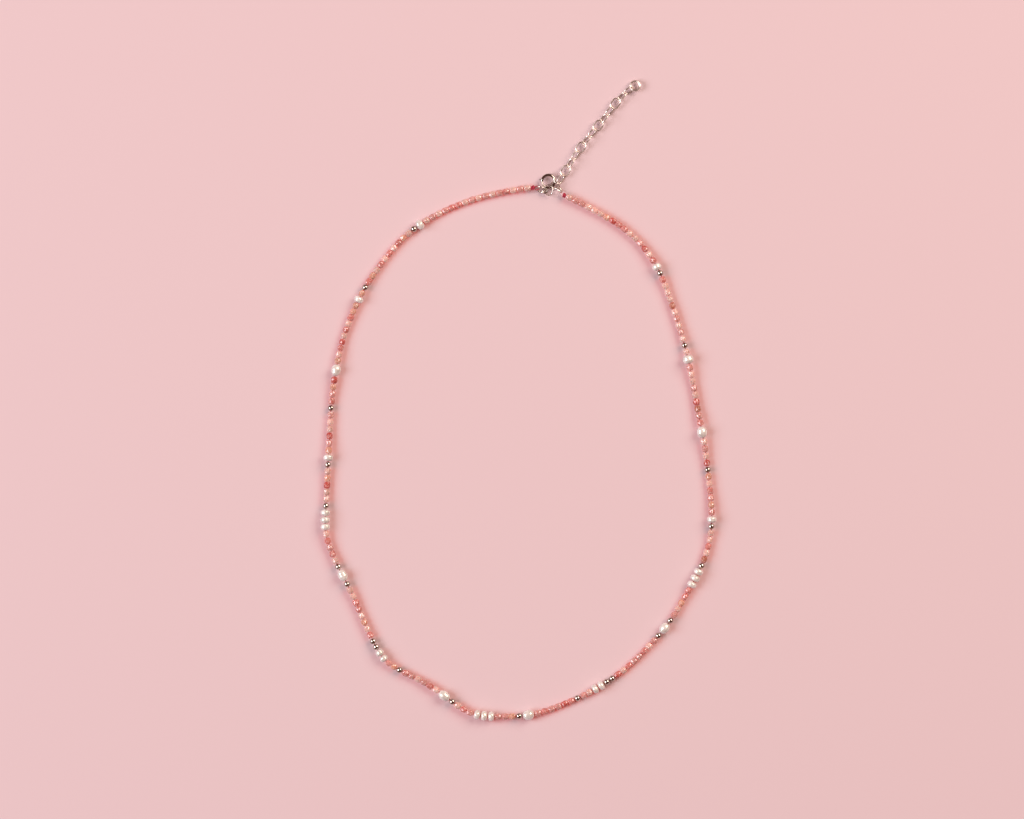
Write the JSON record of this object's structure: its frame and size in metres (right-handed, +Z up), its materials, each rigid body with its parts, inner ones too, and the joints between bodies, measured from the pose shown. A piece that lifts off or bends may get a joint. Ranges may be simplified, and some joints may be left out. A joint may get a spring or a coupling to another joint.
{
  "type": "beaded pearl necklace",
  "caption": "Strung necklace of freshwater pearls, faceted pink stone beads and silver spacers, with a spring ring clasp and an extender chain, lying closed.",
  "frame": {"origin": "on the table, under the middle of the whole piece's box", "axes": "+Y from the lowest bead of the strand towards the extender's end ring, +Z up from the table, +X to the wearer's right side as laid out"},
  "size_m": [0.1276, 0.2062, 0.0037],
  "materials": {
    "pearl": "smooth nacre, satin to lustrous",
    "faceted_stone": "cut and polished, translucent pink",
    "silver_bead": "polished silver",
    "thread": "twisted crimson bead thread",
    "silver_chain": "polished silver wire",
    "ring_silver": "polished silver wire",
    "clasp_silver": "polished silver tube"
  },
  "bodies": {
    "upper_left_run": {"facet_beads_upper_left": "faceted_stone", "silver_beads_upper_left": "silver_bead", "thread_upper_left": "thread"},
    "lower_left_run": {"facet_beads_lower_left": "faceted_stone", "silver_beads_lower_left": "silver_bead", "thread_lower_left": "thread"},
    "bottom_run": {"facet_beads_bottom": "faceted_stone", "silver_beads_bottom": "silver_bead", "thread_bottom": "thread"},
    "lower_right_run": {"facet_beads_lower_right": "faceted_stone", "silver_beads_lower_right": "silver_bead", "thread_lower_right": "thread"},
    "upper_right_run": {"facet_beads_upper_right": "faceted_stone", "silver_beads_upper_right": "silver_bead", "thread_upper_right": "thread"},
    "pearl_01": {"pearl_01": "pearl"},
    "pearl_02": {"pearl_02": "pearl"},
    "pearl_03": {"pearl_03": "pearl"},
    "pearl_04": {"pearl_04": "pearl"},
    "pearl_05_first": {"pearl_05_first": "pearl"},
    "pearl_05_middle": {"pearl_05_middle": "pearl"},
    "pearl_05_last": {"pearl_05_last": "pearl"},
    "pearl_06": {"pearl_06": "pearl"},
    "pearl_07_first": {"pearl_07_first": "pearl"},
    "pearl_07_last": {"pearl_07_last": "pearl"},
    "pearl_08": {"pearl_08": "pearl"},
    "pearl_09_first": {"pearl_09_first": "pearl"},
    "pearl_09_middle": {"pearl_09_middle": "pearl"},
    "pearl_09_last": {"pearl_09_last": "pearl"},
    "pearl_10": {"pearl_10": "pearl"},
    "pearl_11_pair": {"pearl_11_pair": "pearl"},
    "pearl_12": {"pearl_12": "pearl"},
    "pearl_13_first": {"pearl_13_first": "pearl"},
    "pearl_13_middle": {"pearl_13_middle": "pearl"},
    "pearl_13_last": {"pearl_13_last": "pearl"},
    "pearl_14": {"pearl_14": "pearl"},
    "pearl_15": {"pearl_15": "pearl"},
    "pearl_16": {"pearl_16": "pearl"},
    "pearl_17": {"pearl_17": "pearl"},
    "clasp_ring": {"clasp_ring": "ring_silver"},
    "spring_ring": {"spring_ring_tube": "clasp_silver", "spring_ring_coil": "clasp_silver"},
    "bolt": {"spring_ring_bolt": "clasp_silver"},
    "charm_ring": {"charm_ring": "ring_silver"},
    "catch_ring": {"catch_ring": "ring_silver"},
    "strand_ring": {"strand_ring": "ring_silver"},
    "chain_link_01": {"chain_link_01": "silver_chain"},
    "chain_link_02": {"chain_link_02": "silver_chain"},
    "chain_link_03": {"chain_link_03": "silver_chain"},
    "chain_link_04": {"chain_link_04": "silver_chain"},
    "chain_link_05": {"chain_link_05": "silver_chain"},
    "chain_link_06": {"chain_link_06": "silver_chain"},
    "chain_link_07": {"chain_link_07": "silver_chain"},
    "chain_link_08": {"chain_link_08": "silver_chain"},
    "chain_link_09": {"chain_link_09": "silver_chain"},
    "chain_link_10": {"chain_link_10": "silver_chain"},
    "chain_link_11": {"chain_link_11": "silver_chain"},
    "chain_link_12": {"chain_link_12": "silver_chain"},
    "chain_link_13": {"chain_link_13": "silver_chain"},
    "end_ring": {"end_ring": "silver_chain"}
  },
  "joints": [
    {"name": "lower_left_bend", "type": "hinge", "parent": "bottom_run", "child": "lower_left_run", "pos_m": [-0.04677, -0.07733, 0.00135], "axis": [0, 0, 1], "range_deg": [0, 28]},
    {"name": "upper_left_bend", "type": "hinge", "parent": "lower_left_run", "child": "upper_left_run", "pos_m": [-0.06033, -0.00234, 0.00115], "axis": [0, 0, 1], "range_deg": [0, 28]},
    {"name": "lower_right_bend", "type": "hinge", "parent": "bottom_run", "child": "lower_right_run", "pos_m": [0.04498, -0.07554, 0.00156], "axis": [0, 0, -1], "range_deg": [0, 28]},
    {"name": "upper_right_bend", "type": "hinge", "parent": "lower_right_run", "child": "upper_right_run", "pos_m": [0.06088, -0.02217, 0.00115], "axis": [0, 0, -1], "range_deg": [0, 28]},
    {"name": "pearl_01_spin", "type": "hinge", "parent": "upper_left_run", "child": "pearl_01", "pos_m": [-0.0317, 0.05666, 0.0017], "axis": [-0.8302, -0.5575, 0], "continuous": true},
    {"name": "pearl_02_spin", "type": "hinge", "parent": "upper_left_run", "child": "pearl_02", "pos_m": [-0.0514, 0.03258, 0.0016], "axis": [-0.4444, -0.8958, 0], "continuous": true},
    {"name": "pearl_03_spin", "type": "hinge", "parent": "upper_left_run", "child": "pearl_03", "pos_m": [-0.05871, 0.00984, 0.0016], "axis": [-0.1743, -0.9847, 0], "continuous": true},
    {"name": "pearl_04_spin", "type": "hinge", "parent": "lower_left_run", "child": "pearl_04", "pos_m": [-0.06118, -0.01827, 0.00165], "axis": [-0.0534, -0.9986, 0], "continuous": true},
    {"name": "pearl_05_first_spin", "type": "hinge", "parent": "lower_left_run", "child": "pearl_05_first", "pos_m": [-0.06209, -0.03596, 0.00162], "axis": [-0.0565, -0.9982, 0.0217], "continuous": true},
    {"name": "pearl_05_middle_spin", "type": "hinge", "parent": "lower_left_run", "child": "pearl_05_middle", "pos_m": [-0.06218, -0.03826, 0.00165], "axis": [-0.018, -0.9998, 0], "continuous": true},
    {"name": "pearl_05_last_spin", "type": "hinge", "parent": "lower_left_run", "child": "pearl_05_last", "pos_m": [-0.06213, -0.04056, 0.00162], "axis": [0.0621, -0.9978, -0.0217], "continuous": true},
    {"name": "pearl_06_spin", "type": "hinge", "parent": "lower_left_run", "child": "pearl_06", "pos_m": [-0.05658, -0.05615, 0.0016], "axis": [0.4536, -0.8912, 0], "continuous": true},
    {"name": "pearl_07_first_spin", "type": "hinge", "parent": "bottom_run", "child": "pearl_07_first", "pos_m": [-0.04466, -0.08107, 0.00145], "axis": [0.544, -0.8391, 0], "continuous": true},
    {"name": "pearl_07_last_spin", "type": "hinge", "parent": "bottom_run", "child": "pearl_07_last", "pos_m": [-0.04332, -0.08286, 0.00143], "axis": [0.6523, -0.7576, -0.0228], "continuous": true},
    {"name": "pearl_08_spin", "type": "hinge", "parent": "bottom_run", "child": "pearl_08", "pos_m": [-0.02389, -0.09486, 0.0016], "axis": [0.805, -0.5933, 0], "continuous": true},
    {"name": "pearl_09_first_spin", "type": "hinge", "parent": "bottom_run", "child": "pearl_09_first", "pos_m": [-0.01337, -0.10093, 0.00162], "axis": [0.9743, -0.2243, 0.0218], "continuous": true},
    {"name": "pearl_09_middle_spin", "type": "hinge", "parent": "bottom_run", "child": "pearl_09_middle", "pos_m": [-0.0111, -0.1013, 0.00165], "axis": [0.9953, -0.0971, 0], "continuous": true},
    {"name": "pearl_09_last_spin", "type": "hinge", "parent": "bottom_run", "child": "pearl_09_last", "pos_m": [-0.00881, -0.10145, 0.00162], "axis": [0.9992, -0.0321, -0.0217], "continuous": true},
    {"name": "pearl_10_spin", "type": "hinge", "parent": "bottom_run", "child": "pearl_10", "pos_m": [0.00319, -0.10102, 0.0017], "axis": [0.9889, 0.1489, 0], "continuous": true},
    {"name": "pearl_11_pair_spin", "type": "hinge", "parent": "bottom_run", "child": "pearl_11_pair", "pos_m": [0.02559, -0.09209, 0.0016], "axis": [0.8638, 0.5038, 0], "continuous": true},
    {"name": "pearl_12_spin", "type": "hinge", "parent": "lower_right_run", "child": "pearl_12", "pos_m": [0.04693, -0.07314, 0.0016], "axis": [0.6199, 0.7847, 0], "continuous": true},
    {"name": "pearl_13_first_spin", "type": "hinge", "parent": "lower_right_run", "child": "pearl_13_first", "pos_m": [0.05574, -0.05908, 0.00162], "axis": [0.4805, 0.8767, 0.0217], "continuous": true},
    {"name": "pearl_13_middle_spin", "type": "hinge", "parent": "lower_right_run", "child": "pearl_13_middle", "pos_m": [0.05683, -0.05706, 0.00165], "axis": [0.4679, 0.8838, 0], "continuous": true},
    {"name": "pearl_13_last_spin", "type": "hinge", "parent": "lower_right_run", "child": "pearl_13_last", "pos_m": [0.05788, -0.05501, 0.00162], "axis": [0.4465, 0.8945, -0.0217], "continuous": true},
    {"name": "pearl_14_spin", "type": "hinge", "parent": "lower_right_run", "child": "pearl_14", "pos_m": [0.06212, -0.03814, 0.00165], "axis": [0.0163, 0.9999, 0], "continuous": true},
    {"name": "pearl_15_spin", "type": "hinge", "parent": "upper_right_run", "child": "pearl_15", "pos_m": [0.05903, -0.0101, 0.0017], "axis": [-0.186, 0.9826, 0], "continuous": true},
    {"name": "pearl_16_spin", "type": "hinge", "parent": "upper_right_run", "child": "pearl_16", "pos_m": [0.05453, 0.01331, 0.00185], "axis": [-0.228, 0.9737, 0], "continuous": true},
    {"name": "pearl_17_spin", "type": "hinge", "parent": "upper_right_run", "child": "pearl_17", "pos_m": [0.04449, 0.04309, 0.0016], "axis": [-0.4736, 0.8807, 0], "continuous": true},
    {"name": "clasp_ring_swing", "type": "hinge", "parent": "upper_left_run", "child": "clasp_ring", "pos_m": [0.00587, 0.06844, 0.0014], "axis": [0, 0, 1], "range_deg": [0, 8]},
    {"name": "spring_ring_swing", "type": "hinge", "parent": "clasp_ring", "child": "spring_ring", "pos_m": [0.00847, 0.0675, 0.0014], "axis": [0, 0, 1], "range_deg": [-1, 6]},
    {"name": "bolt_slide", "type": "hinge", "parent": "spring_ring", "child": "bolt", "pos_m": [0.0096, 0.0706, 0.0014], "axis": [0, 0, -1], "range_deg": [0, 48], "stiffness_Nm_per_rad": 0.0014, "springref_deg": -11.46, "deforming": ["spring_ring_coil"]},
    {"name": "charm_ring_swing", "type": "hinge", "parent": "spring_ring", "child": "charm_ring", "pos_m": [0.00967, 0.06855, 0.0014], "axis": [0, 0, 1], "range_deg": [-6, 6]},
    {"name": "catch_ring_swing", "type": "hinge", "parent": "spring_ring", "child": "catch_ring", "pos_m": [0.01137, 0.06957, 0.0014], "axis": [0, 0, 1], "range_deg": [-4, 4]},
    {"name": "strand_ring_swing", "type": "hinge", "parent": "catch_ring", "child": "strand_ring", "pos_m": [0.01283, 0.06857, 0.00149], "axis": [0, 0, 1], "range_deg": [-4, 4]},
    {"name": "chain_link_01_swing", "type": "hinge", "parent": "catch_ring", "child": "chain_link_01", "pos_m": [0.01278, 0.07011, 0.00137], "axis": [0, 0, 1], "range_deg": [-4, 4]},
    {"name": "chain_link_02_swing", "type": "hinge", "parent": "chain_link_01", "child": "chain_link_02", "pos_m": [0.01434, 0.07267, 0.00137], "axis": [0, 0, -1], "range_deg": [-20, 20]},
    {"name": "chain_link_03_swing", "type": "hinge", "parent": "chain_link_02", "child": "chain_link_03", "pos_m": [0.01588, 0.07524, 0.00137], "axis": [0, 0, 1], "range_deg": [-20, 20]},
    {"name": "chain_link_04_swing", "type": "hinge", "parent": "chain_link_03", "child": "chain_link_04", "pos_m": [0.01747, 0.07779, 0.00137], "axis": [0, 0, -1], "range_deg": [-20, 20]},
    {"name": "chain_link_05_swing", "type": "hinge", "parent": "chain_link_04", "child": "chain_link_05", "pos_m": [0.01915, 0.08028, 0.00137], "axis": [0, 0, 1], "range_deg": [-20, 20]},
    {"name": "chain_link_06_swing", "type": "hinge", "parent": "chain_link_05", "child": "chain_link_06", "pos_m": [0.02091, 0.0827, 0.00137], "axis": [0, 0, -1], "range_deg": [-20, 20]},
    {"name": "chain_link_07_swing", "type": "hinge", "parent": "chain_link_06", "child": "chain_link_07", "pos_m": [0.02276, 0.08507, 0.00137], "axis": [0, 0, 1], "range_deg": [-20, 20]},
    {"name": "chain_link_08_swing", "type": "hinge", "parent": "chain_link_07", "child": "chain_link_08", "pos_m": [0.02469, 0.08736, 0.00137], "axis": [0, 0, -1], "range_deg": [-20, 20]},
    {"name": "chain_link_09_swing", "type": "hinge", "parent": "chain_link_08", "child": "chain_link_09", "pos_m": [0.02658, 0.0897, 0.00137], "axis": [0, 0, 1], "range_deg": [-20, 20]},
    {"name": "chain_link_10_swing", "type": "hinge", "parent": "chain_link_09", "child": "chain_link_10", "pos_m": [0.02842, 0.09206, 0.00137], "axis": [0, 0, -1], "range_deg": [-20, 20]},
    {"name": "chain_link_11_swing", "type": "hinge", "parent": "chain_link_10", "child": "chain_link_11", "pos_m": [0.03023, 0.09446, 0.00137], "axis": [0, 0, 1], "range_deg": [-20, 20]},
    {"name": "chain_link_12_swing", "type": "hinge", "parent": "chain_link_11", "child": "chain_link_12", "pos_m": [0.03212, 0.09679, 0.00137], "axis": [0, 0, -1], "range_deg": [-20, 20]},
    {"name": "chain_link_13_swing", "type": "hinge", "parent": "chain_link_12", "child": "chain_link_13", "pos_m": [0.0342, 0.09895, 0.00137], "axis": [0, 0, 1], "range_deg": [-20, 20]},
    {"name": "end_ring_swing", "type": "hinge", "parent": "chain_link_13", "child": "end_ring", "pos_m": [0.03663, 0.10071, 0.00137], "axis": [0, 0, -1], "range_deg": [-20, 20]}
  ]
}
